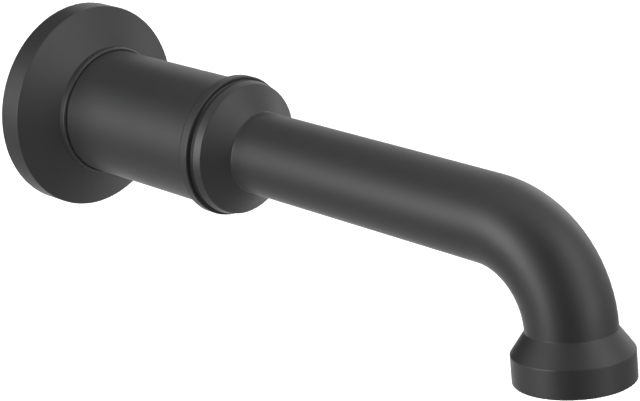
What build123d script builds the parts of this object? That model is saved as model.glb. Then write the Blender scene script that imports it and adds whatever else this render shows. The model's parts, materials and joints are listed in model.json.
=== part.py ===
from build123d import *
from math import cos, radians, sin, sqrt
import os

# Wall-mounted bath spout for a slip-fit supply tube. All sizes are in millimetres.
# The wall face is Y = 0, the spout runs along -Y and +Z is up.
# A depth is a distance along -Y from the wall face, or from the end of the bend for pieces in the bell.

# Driving sizes
flange_radius = 35.0
barrel_radius = 21.0
tube_radius = 13.25
bell_radius = 17.7
collar_depth = 73.9
bend_depth = 180.5
bend_radius = 29.5
bend_angle = 82.0
supply_tube_radius = 7.94
tube_wall = 2.75
barrel_wall = 2.8

# Clearances
slip_clearance = 0.16
slide_clearance = 0.15
thread_clearance = 0.05
seal_clearance = 0.02
loose_clearance = 0.1
access_clearance = 0.6
screw_tip_clearance = 0.4
wall_gap = 1.5

# Edges
edge_round = 0.5
edge_chamfer = 0.4

# Rubber rings and their grooves
ring_section = 1.0
ring_end_float = 0.4
groove_width = 2 * ring_section + ring_end_float

# Flange, from the wall outwards
rim_length = 8.2
cone_length = 6.55
lip_length = 2.35
lip_height = 1.0
lip_round = 0.7
flange_skin = 2.6
rim_wall = 4.0
hub_wall = 4.3
hub_back = 4.0
flange_groove_inset = 4.6
gasket_ledge = 2.0
gasket_thickness = 2.5
gasket_width = 6.0
flange_bore = barrel_radius + slide_clearance
lip_radius = barrel_radius + lip_height
lip_back = rim_length + cone_length
flange_front = lip_back + lip_length
hub_radius = flange_bore + hub_wall
rim_inner = flange_radius - rim_wall
flange_groove_back = hub_back + flange_groove_inset
gasket_seat_radius = rim_inner + gasket_ledge
gasket_outer = gasket_seat_radius - loose_clearance

# Collar, groove, bead and nose of the casting
collar_height = 1.9
collar_length = 3.75
collar_back_round = 0.9
collar_front_round = 0.4
groove_length = 1.85
groove_rise = 0.15
groove_round = 0.6
bead_length = 2.9
bead_back_height = 0.95
bead_front_height = 0.3
bead_back_round = 0.3
nose_length = 5.6
nose_round = 0.6
collar_radius = barrel_radius + collar_height
collar_front = collar_depth + collar_length
groove_radius = barrel_radius + groove_rise
bead_back = collar_front + groove_length
bead_front = bead_back + bead_length
nose_front = bead_front + nose_length

# Waterway, barrel hollow and the threaded port for the adapter
cavity_round = 2.0
seat_setback = 7.75
port_length = 11.0
port_step = 1.7
seal_port_step = 0.8
waterway_radius = tube_radius - tube_wall
cavity_radius = barrel_radius - barrel_wall
seat_depth = collar_depth - seat_setback
port_radius = waterway_radius + port_step
port_end = seat_depth + port_length
seal_port_radius = port_radius + seal_port_step
seal_port_end = seat_depth + groove_width

# Inlet adapter, which starts level with the wall face
socket_wall = 4.0
stop_ledge = 1.0
stop_setback = 6.0
hex_length = 8.0
hex_height = 1.5
stub_setback = 0.8
tube_groove_inset = 4.0
tube_groove_spacing = 6.0
socket_radius = supply_tube_radius + slip_clearance
adapter_radius = socket_radius + socket_wall
passage_radius = supply_tube_radius - stop_ledge
tube_stop = seat_depth - stop_setback
hex_across_flats = 2 * (adapter_radius + hex_height)
stub_radius = port_radius - thread_clearance
stub_end = port_end - stub_setback
relief_radius = seal_port_radius - 2 * ring_section - 2 * seal_clearance
relief_end = seal_port_end + ring_end_float
tube_groove_radius = supply_tube_radius + 2 * ring_section + seal_clearance
tube_groove_depths = (tube_groove_inset, tube_groove_inset + tube_groove_spacing)

# Set screw and its access hole in the underside of the barrel
screw_radius = 3.0
screw_length = 6.0
screw_offset = 9.6
screw_boss_length = 10.0
key_across_flats = 3.0
key_length = 2.8
screw_depth = flange_front + screw_offset
screw_tip = socket_radius + screw_tip_clearance
screw_boss_radius = screw_tip + screw_length
access_radius = screw_radius + access_clearance

# Bell and the pieces held in it, with depths from the end of the bend
bell_tail = 0.15
flare_length = 6.4
bell_rim_length = 8.6
flare_inner_round = 0.4
flare_outer_round = 0.8
bell_edge_round = 0.5
mouth_lip = 2.1
mouth_bevel = 1.9
insert_step = 2.2
insert_inner_step = 0.2
washer_seat = 3.2
washer_thickness = 1.5
straightener_thickness = 5.0
straightener_rim = 1.5
retainer_thickness = 3.0
slot_width = 2.5
slot_length = 1.2
cell_across_flats = 2.4
cell_wall = 0.5
flare_end = bell_tail + flare_length
bell_end = flare_end + bell_rim_length
mouth_radius = bell_radius - mouth_lip
insert_radius = waterway_radius + insert_step
insert_inner = waterway_radius + insert_inner_step
straightener_top = washer_seat + washer_thickness
retainer_top = straightener_top + straightener_thickness
retainer_end = retainer_top + retainer_thickness
cell_pitch = cell_across_flats + cell_wall
cell_radius = cell_across_flats / sqrt(3)

bend_axis = Axis((0, -bend_depth, -bend_radius), (1, 0, 0))
bell_place = Location(
    (
        0,
        -bend_depth - bend_radius * sin(radians(bend_angle)),
        -bend_radius + bend_radius * cos(radians(bend_angle)),
    ),
    (bend_angle, 0, 0),
)


def turned(corners):
    """Solid of revolution about the spout axis from (radius, depth, rounding) corners."""
    points = [(radius, -depth) for radius, depth, _ in corners]
    face = make_face(Polyline(*points, close=True))
    for radius, depth, rounding in corners:
        if rounding:
            corner = face.vertices().sort_by_distance((radius, -depth, 0))[0]
            face = fillet(corner, rounding)
    return revolve(face, Axis.Y)


def rod(radius, start, end):
    """Round bar on the spout axis between two depths."""
    return extrude(Plane.XZ.offset(start) * Circle(radius), end - start)


def sleeve(outer, inner, start, end):
    """Round tube on the spout axis between two depths."""
    return rod(outer, start, end) - rod(inner, start, end)


def seal_ring(inner, depth):
    """Rubber ring about the spout axis, centred on a depth."""
    return Location((0, -depth, 0), (90, 0, 0)) * Torus(inner + ring_section, ring_section)


def bend(radius):
    """The bent stretch of the tube, filled to a radius."""
    return revolve(Plane.XZ.offset(bend_depth) * Circle(radius), bend_axis, revolution_arc=bend_angle)


def drop(radius, top, length):
    """Bar pointing down from the spout axis at the set screw, starting a given height below it."""
    return Location((0, -screw_depth, -top), (180, 0, 0)) * extrude(Circle(radius), length)


def barrel_and_tube():
    """Outside of the casting from the wall end to the start of the bend."""
    return turned(
        [
            (0, wall_gap, 0),
            (barrel_radius, wall_gap, edge_round),
            (barrel_radius, collar_depth, 0),
            (collar_radius, collar_depth, collar_back_round),
            (collar_radius, collar_front, collar_front_round),
            (groove_radius, collar_front, groove_round),
            (groove_radius, bead_back, 0),
            (barrel_radius + bead_back_height, bead_back, bead_back_round),
            (barrel_radius + bead_front_height, bead_front, edge_round),
            (tube_radius, nose_front, nose_round),
            (tube_radius, bend_depth, 0),
            (0, bend_depth, 0),
        ]
    )


def bell():
    """Outside of the bell at the end of the bend."""
    return turned(
        [
            (0, 0, 0),
            (tube_radius, 0, 0),
            (tube_radius, bell_tail, flare_inner_round),
            (bell_radius, flare_end, flare_outer_round),
            (bell_radius, bell_end, bell_edge_round),
            (mouth_radius, bell_end, 0),
            (0, bell_end, 0),
        ]
    )


def barrel_hollow():
    """Space inside the barrel, with the threaded port and the seal recess at its end."""
    return turned(
        [
            (0, wall_gap, 0),
            (cavity_radius, wall_gap, 0),
            (cavity_radius, seat_depth, cavity_round),
            (seal_port_radius, seat_depth, 0),
            (seal_port_radius, seal_port_end, 0),
            (port_radius, seal_port_end, 0),
            (port_radius, port_end, 0),
            (waterway_radius, port_end, 0),
            (waterway_radius, bend_depth, 0),
            (0, bend_depth, 0),
        ]
    )


def bell_hollow():
    """Space inside the bell: waterway, insert bore and bevelled mouth."""
    return turned(
        [
            (0, 0, 0),
            (waterway_radius, 0, 0),
            (waterway_radius, washer_seat, 0),
            (insert_radius, washer_seat, 0),
            (insert_radius, bell_end - mouth_bevel, 0),
            (mouth_radius, bell_end, 0),
            (0, bell_end, 0),
        ]
    )


def spout_body():
    outside = barrel_and_tube() + bend(tube_radius) + bell_place * bell()
    inside = barrel_hollow() + bend(waterway_radius) + bell_place * bell_hollow()
    access_hole = drop(access_radius, screw_boss_radius, barrel_radius - screw_boss_radius + edge_round)
    return outside - inside - access_hole


def cone_depth(radius):
    """Depth of the flange's cone face at a radius."""
    return rim_length + cone_length * (flange_radius - radius) / (flange_radius - lip_radius)


def wall_flange():
    groove_front = flange_groove_back + groove_width
    seal_groove_radius = barrel_radius + 2 * ring_section + 2 * seal_clearance
    return turned(
        [
            (flange_radius, 0, 0),
            (flange_radius, rim_length, edge_round),
            (lip_radius, lip_back, 0),
            (lip_radius, flange_front, lip_round),
            (flange_bore, flange_front, 0),
            (flange_bore, groove_front, 0),
            (seal_groove_radius, groove_front, 0),
            (seal_groove_radius, flange_groove_back, 0),
            (flange_bore, flange_groove_back, 0),
            (flange_bore, hub_back, 0),
            (hub_radius, hub_back, 0),
            (hub_radius, cone_depth(hub_radius) - flange_skin, 0),
            (rim_inner, cone_depth(rim_inner) - flange_skin, 0),
            (rim_inner, gasket_thickness, 0),
            (gasket_seat_radius, gasket_thickness, 0),
            (gasket_seat_radius, 0, 0),
        ]
    )


def wall_gasket():
    return sleeve(gasket_outer, gasket_outer - gasket_width, 0, gasket_thickness)


def flange_o_ring():
    return seal_ring(barrel_radius + seal_clearance, flange_groove_back + groove_width / 2)


def inlet_adapter():
    body = turned(
        [
            (passage_radius, tube_stop, 0),
            (socket_radius, tube_stop, 0),
            (socket_radius, edge_chamfer, 0),
            (socket_radius + edge_chamfer, 0, 0),
            (adapter_radius - edge_chamfer, 0, 0),
            (adapter_radius, edge_chamfer, 0),
            (adapter_radius, seat_depth, 0),
            (relief_radius, seat_depth, 0),
            (relief_radius, relief_end, 0),
            (stub_radius, relief_end, 0),
            (stub_radius, stub_end - edge_chamfer, 0),
            (stub_radius - edge_chamfer, stub_end, 0),
            (passage_radius, stub_end, 0),
        ]
    )
    hexagon = RegularPolygon(hex_across_flats / 2, 6, major_radius=False)
    wrench_hex = extrude(Plane.XZ.offset(seat_depth - hex_length) * hexagon, hex_length)
    body += wrench_hex - rod(adapter_radius - 1, seat_depth - hex_length, seat_depth)
    boss_start = screw_depth - screw_boss_length / 2
    body += sleeve(screw_boss_radius, adapter_radius - 1, boss_start, boss_start + screw_boss_length)
    for depth in tube_groove_depths:
        body -= rod(tube_groove_radius, depth, depth + groove_width)
    return body - drop(screw_radius + thread_clearance, 0, screw_boss_radius + 1)


def adapter_o_ring():
    return seal_ring(relief_radius + seal_clearance, seat_depth + groove_width / 2)


def tube_o_rings():
    rings = [seal_ring(supply_tube_radius, depth + groove_width / 2) for depth in tube_groove_depths]
    return Compound(children=rings)


def set_screw():
    shank = drop(screw_radius, screw_tip, screw_length)
    shank = chamfer(shank.edges().group_by(Axis.Z)[-1], edge_chamfer)
    socket = extrude(RegularPolygon(key_across_flats / 2, 6, major_radius=False), key_length)
    return shank - Location((0, -screw_depth, -screw_boss_radius)) * socket


def straightener_washer():
    outer = insert_radius - loose_clearance
    return bell_place * sleeve(outer, insert_inner, washer_seat, straightener_top)


def cell_centres():
    """Centres of the honeycomb cells that fit inside the straightener's rim."""
    reach = insert_inner - straightener_rim / 2 - cell_radius / 2
    rows = int(reach / cell_pitch) + 2
    centres = []
    for row in range(-rows, rows + 1):
        for column in range(-rows, rows + 1):
            x = cell_pitch * (column + row / 2)
            y = cell_pitch * row * sqrt(3) / 2
            if sqrt(x * x + y * y) < reach:
                centres.append((x, y))
    return centres


def stream_straightener():
    disc = rod(insert_radius - loose_clearance, straightener_top, retainer_top)
    cell = RegularPolygon(cell_radius, 6, rotation=30)
    cells = Sketch() + [Location((x, y)) * cell for x, y in cell_centres()]
    return bell_place * (disc - extrude(Plane.XZ.offset(straightener_top) * cells, straightener_thickness))


def straightener_ring():
    ring = sleeve(insert_radius - thread_clearance, insert_inner, retainer_top, retainer_end)
    slots = Plane.XZ.offset(retainer_end - slot_length) * Rectangle(4 * insert_radius, slot_width)
    return bell_place * (ring - extrude(slots, slot_length))


pieces = {
    "spout_body": spout_body(),
    "wall_flange": wall_flange(),
    "wall_gasket": wall_gasket(),
    "flange_o_ring": flange_o_ring(),
    "inlet_adapter": inlet_adapter(),
    "adapter_o_ring": adapter_o_ring(),
    "tube_o_rings": tube_o_rings(),
    "set_screw": set_screw(),
    "straightener_washer": straightener_washer(),
    "stream_straightener": stream_straightener(),
    "straightener_ring": straightener_ring(),
}

os.makedirs("parts", exist_ok=True)
for name, shape in pieces.items():
    export_step(shape, f"parts/{name}.step")
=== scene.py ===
"""Bath spout: finishes for its pieces, and a plain studio with the camera at the photograph's angle."""
import json
import math
import bpy
from bpy.props import FloatProperty, FloatVectorProperty, PointerProperty
from mathutils import Matrix, Vector


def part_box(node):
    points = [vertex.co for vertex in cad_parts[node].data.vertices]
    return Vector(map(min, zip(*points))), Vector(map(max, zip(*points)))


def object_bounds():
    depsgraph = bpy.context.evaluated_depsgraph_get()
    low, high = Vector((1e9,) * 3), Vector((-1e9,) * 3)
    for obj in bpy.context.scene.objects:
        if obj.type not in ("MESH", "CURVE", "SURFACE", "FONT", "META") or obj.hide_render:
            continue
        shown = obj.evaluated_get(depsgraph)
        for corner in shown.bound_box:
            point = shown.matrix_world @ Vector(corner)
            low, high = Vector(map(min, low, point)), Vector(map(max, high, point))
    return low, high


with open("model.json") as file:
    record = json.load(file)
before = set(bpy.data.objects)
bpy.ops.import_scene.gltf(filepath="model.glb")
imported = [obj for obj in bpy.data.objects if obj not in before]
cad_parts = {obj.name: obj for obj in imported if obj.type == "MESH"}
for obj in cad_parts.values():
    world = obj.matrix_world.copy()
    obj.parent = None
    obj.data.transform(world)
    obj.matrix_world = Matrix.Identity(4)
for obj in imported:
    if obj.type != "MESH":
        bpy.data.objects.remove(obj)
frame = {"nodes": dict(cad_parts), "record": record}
CAD_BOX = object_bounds()

bl_info = {
    "name": "Bath Spout",
    "version": (1, 0, 0),
    "blender": (4, 5, 0),
    "location": "View3D > Sidebar > Bath Spout",
    "description": "Finishes for a black bath spout and its fittings, with a studio to show it in",
    "category": "Object",
}

MM = 0.001

# The directions that the fittings are turned round
UPRIGHT = (0.0, 0.0, 1.0)
BARREL_AXIS = (0.0, 1.0, 0.0)
OUTLET_TILT = math.radians(82.0)
OUTLET_AXIS = (0.0, -math.cos(OUTLET_TILT), -math.sin(OUTLET_TILT))

# The barrel's hollow, left as cast
HOLLOW_RADIUS = 18.25 * MM
HOLLOW_DEPTH = 66.3 * MM

# How matte the turned metals are, and how dark the steel gets where it is dull
BRASS_ROUGHNESS = 0.3
STEEL_ROUGHNESS = 0.26
DULL_STEEL_SHADE = 0.6

# The photograph's frame, in pixels, which the camera's lens and shift are worked out for
FRAME_WIDTH = 640
LENS_PIXELS = 1813.8
SHIFT_RIGHT_PIXELS = 32.35
SHIFT_DOWN_PIXELS = 10.05

# The camera's sensor in millimetres, and the nearest thing that it shows in metres
SENSOR_WIDTH = 36.0
CLIP_START = 0.01

# The softboxes that face the spout, with angles in degrees and sizes in metres
SOFTBOXES = {
    "left": {"azimuth": -108, "elevation": 5, "width": 0.46, "height": 1.2},
    "left_rear": {"azimuth": -148, "elevation": 5, "width": 0.46, "height": 1.2},
    "front": {"azimuth": 5, "elevation": 10, "width": 0.9, "height": 1.2},
    "front_high": {"azimuth": 18, "elevation": 46, "width": 1.2, "height": 0.9},
    "right": {"azimuth": 100, "elevation": 22, "width": 0.9, "height": 1.5},
    "top": {"azimuth": 0, "elevation": 88, "width": 1.2, "height": 1.2},
}

# How far the grids on the lamps let their light spread
LAMP_SPREAD = math.radians(60.0)

# The lamp over the floor behind the spout
FLOOR_LAMP_DISTANCE = 1.5
FLOOR_LAMP_HEIGHT = 0.9
FLOOR_LAMP_SIZE = 1.8

# The dark flags, which run round the spout from one azimuth in degrees to another
FLAGS = {
    "camera_side_flag": {"distance": 0.75, "start": -86, "end": -30},
    "back_flag": {"distance": 1.25, "start": 148, "end": 208},
}

# The height of the flags' top above the spout's axis, and the flat strips in each flag's curve
FLAG_TOP = 1.3
FLAG_STEPS = 24

# The straight sides that make the floor round
FLOOR_SIDES = 64


def slot_colour(slot):
    """The record's colour for a material slot."""
    for material in frame["record"]["materials"]:
        if material["slot"] == slot:
            return tuple(material["base_color"])
    raise ValueError(f"the record has no material slot called {slot}")


def colour_property(name, description, default):
    """A colour that the user can change."""
    return FloatVectorProperty(
        name=name, description=description, default=default, subtype="COLOR", size=3, min=0.0, max=1.0
    )


def length_property(name, description, default):
    """A length in metres that the user can change."""
    return FloatProperty(
        name=name,
        description=description,
        default=default,
        subtype="DISTANCE",
        unit="LENGTH",
        min=0.0,
        precision=5,
    )


def angle_property(name, description, degrees):
    """An angle that the user can change."""
    return FloatProperty(
        name=name,
        description=description,
        default=math.radians(degrees),
        subtype="ANGLE",
        unit="ROTATION",
    )


def share_property(name, description, default):
    """A share from 0 to 1 that the user can change."""
    return FloatProperty(
        name=name, description=description, default=default, subtype="FACTOR", min=0.0, max=1.0
    )


def power_property(name, description, default):
    """A lamp's power in watts that the user can change."""
    return FloatProperty(
        name=name, description=description, default=default, subtype="POWER", unit="POWER", min=0.0
    )


class SpoutCoating(bpy.types.PropertyGroup):
    """The black coating on the casting and the flange."""

    colour: colour_property("Colour", "Colour of the coating", slot_colour("black_coating"))
    roughness: share_property("Roughness", "How matte the coating is", 0.46)
    gloss: share_property("Gloss", "How strongly the coating reflects", 0.39)
    peel_size: length_property("Peel Size", "Width of the coating's fine ripples", 0.7 * MM)
    peel_depth: length_property("Peel Depth", "Height of the coating's fine ripples", 0.004 * MM)


class SpoutMetals(bpy.types.PropertyGroup):
    """The bare brass fittings, the bare inside of the casting and the steel screw."""

    brass: colour_property("Brass", "Colour of the turned brass", slot_colour("bare_brass"))
    tarnish: colour_property("Tarnish", "Colour of the brass where it has dulled", (0.42, 0.28, 0.12))
    steel: colour_property("Steel", "Colour of the set screw", slot_colour("screw_steel"))
    turning_pitch: length_property("Turning Pitch", "Distance between the lathe tool's marks", 0.18 * MM)
    turning_depth: length_property("Turning Depth", "Depth of the lathe tool's marks", 0.004 * MM)
    pit_size: length_property("Pit Size", "Distance between the pits in the cast surface", 0.8 * MM)


class SpoutSoftParts(bpy.types.PropertyGroup):
    """The rubber rings, the foam gasket and the plastic straightener."""

    rubber: colour_property("Rubber", "Colour of the rubber rings", slot_colour("seal_rubber"))
    foam: colour_property("Foam", "Colour of the foam gasket", slot_colour("foam_rubber"))
    plastic: colour_property("Plastic", "Colour of the straightener", slot_colour("grey_plastic"))
    pore_size: length_property("Pore Size", "Distance between the pores in the foam", 0.6 * MM)


class SpoutStudio(bpy.types.PropertyGroup):
    """The floor, lamps, dark flags and camera."""

    floor_colour: colour_property("Floor Colour", "Colour of the floor", (0.8, 0.8, 0.8))
    floor_drop: length_property("Floor Drop", "Height of the spout's axis above the floor", 0.4)
    floor_radius: length_property("Floor Radius", "Radius of the round floor", 9.0)
    floor_glow: share_property("Floor Glow", "How far the floor shows lighter than it is lit", 0.1)
    room_level: share_property("Room Level", "Light from the whole room, where 1 is white", 0.4)
    left_power: power_property("Left Softbox", "Power of the softbox on the left", 2.55)
    left_rear_power: power_property("Left Rear Softbox", "Power of the softbox behind on the left", 0.45)
    front_power: power_property("Front Softbox", "Power of the softbox in front", 1.08)
    front_high_power: power_property("Front High Softbox", "Power of the softbox high in front", 1.02)
    right_power: power_property("Right Softbox", "Power of the softbox on the right", 0.73)
    top_power: power_property("Top Softbox", "Power of the softbox overhead", 0.35)
    floor_power: power_property("Floor Softbox", "Power of the softbox over the floor behind", 14.0)
    lamp_distance: length_property("Lamp Distance", "Distance from the spout to each softbox", 1.3)
    view_azimuth: angle_property("View Azimuth", "Camera's way round, from straight in front", -46.267)
    view_elevation: angle_property("View Elevation", "Camera's angle above the horizon", 18.312)
    view_distance: length_property("View Distance", "From the camera to the point that it faces", 0.574)
    view_depth: length_property("View Depth", "From the wall to the point that the camera faces", 0.1)
    view_drop: length_property("View Drop", "From the axis down to the point that the camera faces", 0.01)


def add_node(tree, kind, inputs=None, **settings):
    """A new node with its settings and its unlinked inputs."""
    node = tree.nodes.new(kind)
    for key, value in settings.items():
        setattr(node, key, value)
    for key, value in (inputs or {}).items():
        node.inputs[key].default_value = value
    return node


def math_node(tree, operation, first, second=None):
    """The result of one sum; each side is a number or another node's output."""
    node = add_node(tree, "ShaderNodeMath", operation=operation)
    for socket, value in zip(node.inputs, (first, second)):
        if isinstance(value, bpy.types.NodeSocket):
            tree.links.new(value, socket)
        elif value is not None:
            socket.default_value = value
    return node.outputs["Value"]


def vector_node(tree, operation, first, second=None):
    """A new node for one sum with other nodes' vectors."""
    node = add_node(tree, "ShaderNodeVectorMath", operation=operation)
    tree.links.new(first, node.inputs[0])
    if second is not None:
        tree.links.new(second, node.inputs[1])
    return node


def spread(tree, value, low, high):
    """A value from 0 to 1, spread evenly from low to high."""
    node = add_node(tree, "ShaderNodeMapRange", {"To Min": low, "To Max": high})
    tree.links.new(value, node.inputs["Value"])
    return node.outputs["Result"]


def mix_colours(tree, mask, first, second):
    """A mix of two colours by a mask; each is a colour or another node's output."""
    node = add_node(tree, "ShaderNodeMix", data_type="RGBA")
    tree.links.new(mask, node.inputs["Factor"])
    for name, colour in (("A", first), ("B", second)):
        socket = next(s for s in node.inputs if s.name == name and s.type == "RGBA")
        if isinstance(colour, bpy.types.NodeSocket):
            tree.links.new(colour, socket)
        else:
            socket.default_value = (*colour, 1.0)
    return next(s for s in node.outputs if s.type == "RGBA")


def bump(tree, height, depth, below=None):
    """Relief of a given depth, laid over the relief below it."""
    node = add_node(tree, "ShaderNodeBump", {"Strength": 1.0, "Distance": depth})
    tree.links.new(height, node.inputs["Height"])
    if below is not None:
        tree.links.new(below, node.inputs["Normal"])
    return node.outputs["Normal"]


def place_on_piece(tree):
    """The place on the piece, in its own axes."""
    return add_node(tree, "ShaderNodeTexCoord").outputs["Object"]


def new_group(name, inputs, outputs):
    """An empty node group with its named sockets."""
    tree = bpy.data.node_groups.new(name, "ShaderNodeTree")
    for socket, kind in inputs:
        tree.interface.new_socket(socket, in_out="INPUT", socket_type=kind)
    for socket, kind in outputs:
        tree.interface.new_socket(socket, in_out="OUTPUT", socket_type=kind)
    return tree, tree.nodes.new("NodeGroupInput"), tree.nodes.new("NodeGroupOutput")


def grain_group():
    """Soft irregular patches of a given width."""
    tree, start, end = new_group(
        "grain", [("Size", "NodeSocketFloat")], [("Value", "NodeSocketFloat")]
    )
    noise = add_node(tree, "ShaderNodeTexNoise", {"Detail": 3.0, "Roughness": 0.5})
    tree.links.new(place_on_piece(tree), noise.inputs["Vector"])
    tree.links.new(math_node(tree, "DIVIDE", 1.0, start.outputs["Size"]), noise.inputs["Scale"])
    # Noise keeps near the middle of its range, so it is stretched to fill about 0 to 1
    tree.links.new(spread(tree, noise.outputs["Fac"], -0.5, 1.5), end.inputs["Value"])


def pits_group():
    """Round pits at a given spacing: 0 in the middle of a pit and 1 between pits."""
    pit_wall = {"From Min": 0.15, "From Max": 0.55}
    tree, start, end = new_group(
        "pits", [("Size", "NodeSocketFloat")], [("Height", "NodeSocketFloat")]
    )
    cells = add_node(tree, "ShaderNodeTexVoronoi", {"Randomness": 1.0})
    tree.links.new(place_on_piece(tree), cells.inputs["Vector"])
    tree.links.new(math_node(tree, "DIVIDE", 1.0, start.outputs["Size"]), cells.inputs["Scale"])
    edge = add_node(tree, "ShaderNodeMapRange", pit_wall, interpolation_type="SMOOTHSTEP")
    tree.links.new(cells.outputs["Distance"], edge.inputs["Value"])
    tree.links.new(edge.outputs["Result"], end.inputs["Height"])


def turning_group():
    """Rings that a lathe tool leaves round an axis, a little uneven from one to the next."""
    tree, start, end = new_group(
        "turning",
        [("Centre", "NodeSocketVector"), ("Axis", "NodeSocketVector"), ("Pitch", "NodeSocketFloat")],
        [("Height", "NodeSocketFloat"), ("Shade", "NodeSocketFloat")],
    )
    axis = start.outputs["Axis"]
    offset = vector_node(tree, "SUBTRACT", place_on_piece(tree), start.outputs["Centre"]).outputs["Vector"]
    along = vector_node(tree, "DOT_PRODUCT", offset, axis).outputs["Value"]
    across = vector_node(tree, "CROSS_PRODUCT", offset, axis).outputs["Vector"]
    radius = vector_node(tree, "LENGTH", across).outputs["Value"]
    turns = math_node(tree, "DIVIDE", math_node(tree, "ADD", along, radius), start.outputs["Pitch"])
    wave = math_node(tree, "SINE", math_node(tree, "MULTIPLY", turns, math.tau))
    # The wave runs from -1 to 1, and the height from 0 to 1
    height = math_node(tree, "ADD", math_node(tree, "MULTIPLY", wave, 0.5), 0.5)
    tree.links.new(height, end.inputs["Height"])
    uneven = add_node(tree, "ShaderNodeTexNoise", {"Scale": 0.35, "Detail": 2.0}, noise_dimensions="1D")
    tree.links.new(turns, uneven.inputs["W"])
    tree.links.new(uneven.outputs["Fac"], end.inputs["Shade"])


def effect(tree, group, **inputs):
    """A shared effect placed in a material with its own values."""
    node = add_node(tree, "ShaderNodeGroup", node_tree=bpy.data.node_groups[group])
    for key, value in inputs.items():
        node.inputs[key].default_value = value
    return node


def grain(tree, size):
    """Soft patches of a given width, in a material."""
    return effect(tree, "grain", Size=size).outputs["Value"]


def pitting(tree, size):
    """Round pits at a given spacing, in a material."""
    return effect(tree, "pits", Size=size).outputs["Height"]


def empty_material(name):
    """A material and its empty node tree."""
    material = bpy.data.materials.new(name)
    material.use_nodes = True
    tree = material.node_tree
    tree.nodes.clear()
    return material, tree


def new_material(name):
    """A material, its node tree and its shader."""
    material, tree = empty_material(name)
    shader = add_node(tree, "ShaderNodeBsdfPrincipled")
    output = add_node(tree, "ShaderNodeOutputMaterial")
    tree.links.new(shader.outputs["BSDF"], output.inputs["Surface"])
    return material, tree, shader


def link_looks(tree, shader, colour, roughness, relief):
    """Links a finish's colour, roughness and relief to its shader."""
    tree.links.new(colour, shader.inputs["Base Color"])
    tree.links.new(roughness, shader.inputs["Roughness"])
    tree.links.new(relief, shader.inputs["Normal"])


def shade(colour, factor):
    """The same colour, lighter or darker."""
    return tuple(channel * factor for channel in colour)


def coating_looks(tree, shader, coating):
    """Colour, roughness and relief of the black coating, as sockets."""
    patch_size = 20 * coating.peel_size
    colour_drift = 0.06
    patch_drift = 0.015
    peel_drift = 0.02
    fine = grain(tree, coating.peel_size)
    broad = grain(tree, patch_size)
    darker = shade(coating.colour, 1 - colour_drift)
    lighter = shade(coating.colour, 1 + colour_drift)
    colour = mix_colours(tree, broad, darker, lighter)
    patched = spread(tree, broad, -patch_drift, patch_drift)
    rippled = spread(tree, fine, coating.roughness - peel_drift, coating.roughness + peel_drift)
    roughness = math_node(tree, "ADD", rippled, patched)
    shader.inputs["Specular IOR Level"].default_value = coating.gloss
    relief = bump(tree, fine, coating.peel_depth)
    return colour, roughness, relief


def black_coating(coating):
    """Matte black coating with a fine satin ripple."""
    material, tree, shader = new_material("black_coating")
    link_looks(tree, shader, *coating_looks(tree, shader, coating))
    return material


def hollow_mask(tree):
    """1 on the walls of the barrel's hollow and 0 elsewhere."""
    split = add_node(tree, "ShaderNodeSeparateXYZ")
    tree.links.new(place_on_piece(tree), split.inputs["Vector"])
    across = math_node(tree, "POWER", split.outputs["X"], 2.0)
    up = math_node(tree, "POWER", split.outputs["Z"], 2.0)
    inside = math_node(tree, "LESS_THAN", math_node(tree, "ADD", across, up), HOLLOW_RADIUS ** 2)
    near_wall = math_node(tree, "GREATER_THAN", split.outputs["Y"], -HOLLOW_DEPTH)
    return math_node(tree, "MULTIPLY", inside, near_wall)


def coated_casting(coating, metals):
    """Black coating outside, and bare brass with fine pits on the walls of the hollow."""
    cast_brass = shade(metals.brass, 0.8)
    pit_depth = 0.03 * MM
    rougher_in_pits = 0.2
    rougher_between = 0.08
    material, tree, shader = new_material("coated_casting")
    colour, roughness, relief = coating_looks(tree, shader, coating)
    bare = hollow_mask(tree)
    pits = pitting(tree, metals.pit_size)
    cast_colour = mix_colours(tree, pits, metals.tarnish, cast_brass)
    both_colours = mix_colours(tree, bare, colour, cast_colour)
    rougher = math_node(tree, "MULTIPLY", bare, spread(tree, pits, rougher_in_pits, rougher_between))
    both_roughnesses = math_node(tree, "ADD", roughness, rougher)
    pitted = math_node(tree, "MULTIPLY", pits, bare)
    tree.links.new(bare, shader.inputs["Metallic"])
    link_looks(tree, shader, both_colours, both_roughnesses, bump(tree, pitted, pit_depth, relief))
    return material


def turned_metal(name, bright, dull, metals, centre, axis, roughness):
    """Lathe-turned metal with tool marks round an axis and a little dulling."""
    patch_size = 4 * MM
    most_dulled = 0.8
    bright_roughness = roughness - 0.06
    dull_roughness = roughness + 0.14
    material, tree, shader = new_material(name)
    marks = effect(tree, "turning", Centre=centre, Axis=axis, Pitch=metals.turning_pitch)
    patches = math_node(tree, "MULTIPLY", grain(tree, patch_size), marks.outputs["Shade"])
    dulled = spread(tree, patches, 0.0, most_dulled)
    colour = mix_colours(tree, dulled, bright, dull)
    dulled_roughness = spread(tree, dulled, bright_roughness, dull_roughness)
    relief = bump(tree, marks.outputs["Height"], metals.turning_depth)
    shader.inputs["Metallic"].default_value = 1.0
    link_looks(tree, shader, colour, dulled_roughness, relief)
    return material


def seal_rubber(soft):
    """Moulded rubber with a dull bloom and a fine skin."""
    bloom_size = 2.5 * MM
    skin_size = 0.25 * MM
    skin_depth = 0.006 * MM
    clean_colour = shade(soft.rubber, 0.8)
    bloom_colour = shade(soft.rubber, 1.5)
    clean_roughness = 0.46
    bloom_roughness = 0.62
    material, tree, shader = new_material("seal_rubber")
    bloom = grain(tree, bloom_size)
    colour = mix_colours(tree, bloom, clean_colour, bloom_colour)
    roughness = spread(tree, bloom, clean_roughness, bloom_roughness)
    relief = bump(tree, grain(tree, skin_size), skin_depth)
    shader.inputs["Sheen Weight"].default_value = 0.05
    link_looks(tree, shader, colour, roughness, relief)
    return material


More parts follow.
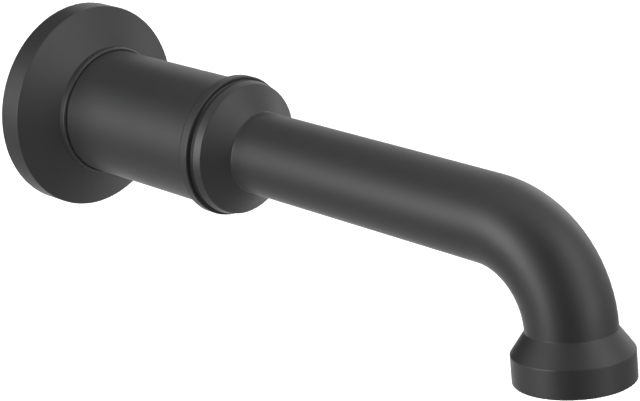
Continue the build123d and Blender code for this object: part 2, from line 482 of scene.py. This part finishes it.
def foam_rubber(soft):
    """Closed-cell foam, with painted shade that darkens the pores below the walls between them."""
    patch_size = 5 * MM
    pore_depth = 0.12 * MM
    painted_pore_shade = shade(soft.foam, 0.45)
    darker_wall = shade(soft.foam, 0.85)
    lighter_wall = shade(soft.foam, 1.25)
    pore_roughness = 0.98
    wall_roughness = 0.82
    material, tree, shader = new_material("foam_rubber")
    pores = pitting(tree, soft.pore_size)
    walls = mix_colours(tree, grain(tree, patch_size), darker_wall, lighter_wall)
    # Painted shade: the pores take a darker colour, standing for the shade that falls in them
    colour = mix_colours(tree, pores, painted_pore_shade, walls)
    roughness = spread(tree, pores, pore_roughness, wall_roughness)
    link_looks(tree, shader, colour, roughness, bump(tree, pores, pore_depth))
    return material


def grey_plastic(soft):
    """Moulded plastic with slight flow marks and a fine satin skin."""
    flow_size = 6 * MM
    skin_size = 0.3 * MM
    skin_depth = 0.004 * MM
    darker = shade(soft.plastic, 0.92)
    lighter = shade(soft.plastic, 1.04)
    least_roughness = 0.36
    most_roughness = 0.48
    material, tree, shader = new_material("grey_plastic")
    skin = grain(tree, skin_size)
    colour = mix_colours(tree, grain(tree, flow_size), darker, lighter)
    roughness = spread(tree, skin, least_roughness, most_roughness)
    link_looks(tree, shader, colour, roughness, bump(tree, skin, skin_depth))
    return material


def flag_cloth():
    """Black cloth with a soft weave, for the dark flags."""
    weave_size = 2 * MM
    darker = (0.004, 0.004, 0.004)
    lighter = (0.008, 0.008, 0.008)
    material, tree, shader = new_material("flag_cloth")
    colour = mix_colours(tree, grain(tree, weave_size), darker, lighter)
    tree.links.new(colour, shader.inputs["Base Color"])
    shader.inputs["Roughness"].default_value = 1.0
    shader.inputs["Specular IOR Level"].default_value = 0.0
    return material


def seen_rays(tree):
    """1 for rays from the camera, a gloss or a clear piece, and 0 for the rays that light the scene."""
    path = add_node(tree, "ShaderNodeLightPath")
    seen = math_node(tree, "MAXIMUM", path.outputs["Is Camera Ray"], path.outputs["Is Glossy Ray"])
    return math_node(tree, "MAXIMUM", seen, path.outputs["Is Transmission Ray"])


def floor_finish(studio):
    """Pale matte floor with a little glow, which takes the shadow and is clear from below."""
    material, tree = empty_material("pale_floor")
    matte = add_node(tree, "ShaderNodeBsdfDiffuse", {"Color": (*studio.floor_colour, 1.0)})
    glow = add_node(tree, "ShaderNodeEmission")
    glow_level = math_node(tree, "MULTIPLY", seen_rays(tree), studio.floor_glow)
    tree.links.new(glow_level, glow.inputs["Strength"])
    both = add_node(tree, "ShaderNodeAddShader")
    tree.links.new(matte.outputs["BSDF"], both.inputs[0])
    tree.links.new(glow.outputs["Emission"], both.inputs[1])
    clear = add_node(tree, "ShaderNodeBsdfTransparent")
    sides = add_node(tree, "ShaderNodeNewGeometry")
    one_sided = add_node(tree, "ShaderNodeMixShader")
    tree.links.new(sides.outputs["Backfacing"], one_sided.inputs["Fac"])
    tree.links.new(both.outputs["Shader"], one_sided.inputs[1])
    tree.links.new(clear.outputs["BSDF"], one_sided.inputs[2])
    output = add_node(tree, "ShaderNodeOutputMaterial")
    tree.links.new(one_sided.outputs["Shader"], output.inputs["Surface"])
    return material


def middle(box):
    """The middle of a box, from its low and high corners."""
    low, high = box
    return (low + high) / 2


def dress(node, material):
    """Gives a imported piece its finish."""
    if node not in frame["nodes"]:
        raise ValueError(f"the frame has no piece called {node}")
    mesh = frame["nodes"][node].data
    mesh.materials.clear()
    mesh.materials.append(material)


def from_angles(azimuth, elevation):
    """The direction at an azimuth from straight in front and an elevation above the horizon."""
    level = math.cos(elevation)
    return Vector((math.sin(azimuth) * level, -math.cos(azimuth) * level, math.sin(elevation)))


def lamp(name, place, back, width, height, power):
    """An oblong lamp that shines away from its back, with a grid that fades it towards its edges."""
    data = bpy.data.lights.new(name, "AREA")
    data.shape = "RECTANGLE"
    data.size = width
    data.size_y = height
    data.spread = LAMP_SPREAD
    data.energy = power
    made = bpy.data.objects.new(name, data)
    made.visible_camera = False
    made.matrix_world = Matrix.Translation(place) @ back.to_track_quat("Z", "Y").to_matrix().to_4x4()
    bpy.context.scene.collection.objects.link(made)


def softbox(studio, side, azimuth, elevation, width, height):
    """A lamp that faces the spout from one side."""
    back = from_angles(math.radians(azimuth), math.radians(elevation))
    place = middle(CAD_BOX) + studio.lamp_distance * back
    lamp(f"{side}_softbox", place, back, width, height, getattr(studio, f"{side}_power"))


def floor_softbox(studio):
    """A lamp that shines down on the floor behind the spout, as the camera sees it."""
    towards_camera = from_angles(studio.view_azimuth, 0.0)
    place = middle(CAD_BOX) - FLOOR_LAMP_DISTANCE * towards_camera
    place.z = FLOOR_LAMP_HEIGHT - studio.floor_drop
    lamp("floor_softbox", place, Vector(UPRIGHT), FLOOR_LAMP_SIZE, FLOOR_LAMP_SIZE, studio.floor_power)


def stage_mesh(name, corners, faces, material):
    """An object for the stage, from its corners and faces."""
    mesh = bpy.data.meshes.new(name)
    mesh.from_pydata(corners, [], faces)
    mesh.materials.append(material)
    made = bpy.data.objects.new(name, mesh)
    bpy.context.scene.collection.objects.link(made)
    return made


def flag(studio, name, cloth, distance, start, end):
    """A curved dark cloth from the floor up, out of the picture, which the spout's gloss mirrors."""
    corners = []
    for step in range(FLAG_STEPS + 1):
        azimuth = math.radians(start + (end - start) * step / FLAG_STEPS)
        foot = middle(CAD_BOX) + distance * from_angles(azimuth, 0.0)
        corners.append((foot.x, foot.y, -studio.floor_drop))
        corners.append((foot.x, foot.y, FLAG_TOP))
    faces = [(2 * i, 2 * i + 1, 2 * i + 3, 2 * i + 2) for i in range(FLAG_STEPS)]
    card = stage_mesh(name, corners, faces, cloth)
    card.visible_camera = False
    card.visible_diffuse = False
    card.visible_shadow = False


def pale_floor(studio):
    """A round floor well below the spout."""
    corners = []
    for step in range(FLOOR_SIDES):
        turn = math.tau * step / FLOOR_SIDES
        x = studio.floor_radius * math.cos(turn)
        y = studio.floor_radius * math.sin(turn)
        corners.append((x, y, -studio.floor_drop))
    floor = stage_mesh("floor", corners, [tuple(range(FLOOR_SIDES))], floor_finish(studio))


def white_room(studio):
    """A room that shows white and lights the spout from all round at a lower level."""
    world = bpy.data.worlds.new("white_room")
    bpy.context.scene.world = world
    world.use_nodes = True
    tree = world.node_tree
    tree.nodes.clear()
    background = add_node(tree, "ShaderNodeBackground", {"Color": (1.0, 1.0, 1.0, 1.0)})
    level = spread(tree, seen_rays(tree), studio.room_level, 1.0)
    tree.links.new(level, background.inputs["Strength"])
    output = add_node(tree, "ShaderNodeOutputWorld")
    tree.links.new(background.outputs["Background"], output.inputs["Surface"])


def photo_camera(studio):
    """The camera at the photograph's angle."""
    data = bpy.data.cameras.new("camera")
    data.sensor_width = SENSOR_WIDTH
    data.lens = LENS_PIXELS * SENSOR_WIDTH / FRAME_WIDTH
    data.shift_x = SHIFT_RIGHT_PIXELS / FRAME_WIDTH
    data.shift_y = -SHIFT_DOWN_PIXELS / FRAME_WIDTH
    data.clip_start = CLIP_START
    camera = bpy.data.objects.new("camera", data)
    back = from_angles(studio.view_azimuth, studio.view_elevation)
    right = Vector((math.cos(studio.view_azimuth), math.sin(studio.view_azimuth), 0.0))
    turn = Matrix((right, back.cross(right), back)).transposed().to_4x4()
    faced = Vector((0.0, -studio.view_depth, -studio.view_drop))
    camera.matrix_world = Matrix.Translation(faced + studio.view_distance * back) @ turn
    bpy.context.scene.collection.objects.link(camera)
    bpy.context.scene.camera = camera


class SPOUT_OT_shared_effects(bpy.types.Operator):
    """Make the effects that the finishes share"""

    bl_idname = "spout.shared_effects"
    bl_label = "Shared Effects"

    def execute(self, context):
        grain_group()
        pits_group()
        turning_group()
        return {"FINISHED"}


class SPOUT_OT_coated_pieces(bpy.types.Operator):
    """Coat the casting and the wall flange"""

    bl_idname = "spout.coated_pieces"
    bl_label = "Coated Pieces"

    def execute(self, context):
        scene = context.scene
        dress("spout_body", coated_casting(scene.spout_coating, scene.spout_metals))
        dress("wall_flange", black_coating(scene.spout_coating))
        return {"FINISHED"}


class SPOUT_OT_brass_fittings(bpy.types.Operator):
    """Finish the inlet adapter and the straightener's ring as turned brass"""

    bl_idname = "spout.brass_fittings"
    bl_label = "Brass Fittings"

    def execute(self, context):
        metals = context.scene.spout_metals
        for node, axis in (("inlet_adapter", BARREL_AXIS), ("straightener_ring", OUTLET_AXIS)):
            centre = middle(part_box(node))
            brass = turned_metal(
                f"{node}_brass", metals.brass, metals.tarnish, metals, centre, axis, BRASS_ROUGHNESS
            )
            dress(node, brass)
        return {"FINISHED"}


class SPOUT_OT_set_screw(bpy.types.Operator):
    """Finish the set screw as turned steel"""

    bl_idname = "spout.set_screw"
    bl_label = "Set Screw"

    def execute(self, context):
        metals = context.scene.spout_metals
        node = "set_screw"
        centre = middle(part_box(node))
        dull = shade(metals.steel, DULL_STEEL_SHADE)
        steel = turned_metal("screw_steel", metals.steel, dull, metals, centre, UPRIGHT, STEEL_ROUGHNESS)
        dress(node, steel)
        return {"FINISHED"}


class SPOUT_OT_seals(bpy.types.Operator):
    """Finish the rubber rings and the foam gasket"""

    bl_idname = "spout.seals"
    bl_label = "Seals"

    def execute(self, context):
        soft = context.scene.spout_soft_parts
        rubber = seal_rubber(soft)
        for node in ("flange_o_ring", "adapter_o_ring", "tube_o_rings", "straightener_washer"):
            dress(node, rubber)
        dress("wall_gasket", foam_rubber(soft))
        return {"FINISHED"}


class SPOUT_OT_straightener(bpy.types.Operator):
    """Finish the stream straightener as moulded plastic"""

    bl_idname = "spout.straightener"
    bl_label = "Stream Straightener"

    def execute(self, context):
        dress("stream_straightener", grey_plastic(context.scene.spout_soft_parts))
        return {"FINISHED"}


class SPOUT_OT_stage(bpy.types.Operator):
    """Set up the floor, lamps, dark flags and camera"""

    bl_idname = "spout.stage"
    bl_label = "Stage"

    def execute(self, context):
        studio = context.scene.spout_studio
        context.scene.view_settings.view_transform = "Standard"
        pale_floor(studio)
        white_room(studio)
        for side, placing in SOFTBOXES.items():
            softbox(studio, side, **placing)
        floor_softbox(studio)
        cloth = flag_cloth()
        for name, placing in FLAGS.items():
            flag(studio, name, cloth, **placing)
        photo_camera(studio)
        return {"FINISHED"}


class SPOUT_PT_panel(bpy.types.Panel):
    """The finishes, the studio and their settings"""

    bl_idname = "SPOUT_PT_panel"
    bl_label = "Bath Spout"
    bl_space_type = "VIEW_3D"
    bl_region_type = "UI"
    bl_category = "Bath Spout"

    def draw(self, context):
        for operator in OPERATORS:
            self.layout.operator(operator.bl_idname)
        for name in SETTINGS:
            box = self.layout.box()
            settings = getattr(context.scene, name)
            for key in settings.__annotations__:
                box.prop(settings, key)


SETTINGS = {
    "spout_coating": SpoutCoating,
    "spout_metals": SpoutMetals,
    "spout_soft_parts": SpoutSoftParts,
    "spout_studio": SpoutStudio,
}

OPERATORS = (
    SPOUT_OT_shared_effects,
    SPOUT_OT_coated_pieces,
    SPOUT_OT_brass_fittings,
    SPOUT_OT_set_screw,
    SPOUT_OT_seals,
    SPOUT_OT_straightener,
    SPOUT_OT_stage,
)


def register():
    """Registers the settings, operators and panel."""
    for name, group in SETTINGS.items():
        bpy.utils.register_class(group)
        setattr(bpy.types.Scene, name, PointerProperty(type=group))
    for operator in OPERATORS:
        bpy.utils.register_class(operator)
    bpy.utils.register_class(SPOUT_PT_panel)


def unregister():
    """Takes away the panel, operators and settings."""
    bpy.utils.unregister_class(SPOUT_PT_panel)
    for operator in reversed(OPERATORS):
        bpy.utils.unregister_class(operator)
    for name, group in reversed(SETTINGS.items()):
        delattr(bpy.types.Scene, name)
        bpy.utils.unregister_class(group)


def main():
    """Registers the add-on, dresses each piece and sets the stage."""
    register()
    bpy.ops.spout.shared_effects()
    bpy.ops.spout.coated_pieces()
    bpy.ops.spout.brass_fittings()
    bpy.ops.spout.set_screw()
    bpy.ops.spout.seals()
    bpy.ops.spout.straightener()
    bpy.ops.spout.stage()


if __name__ == "__main__":
    main()
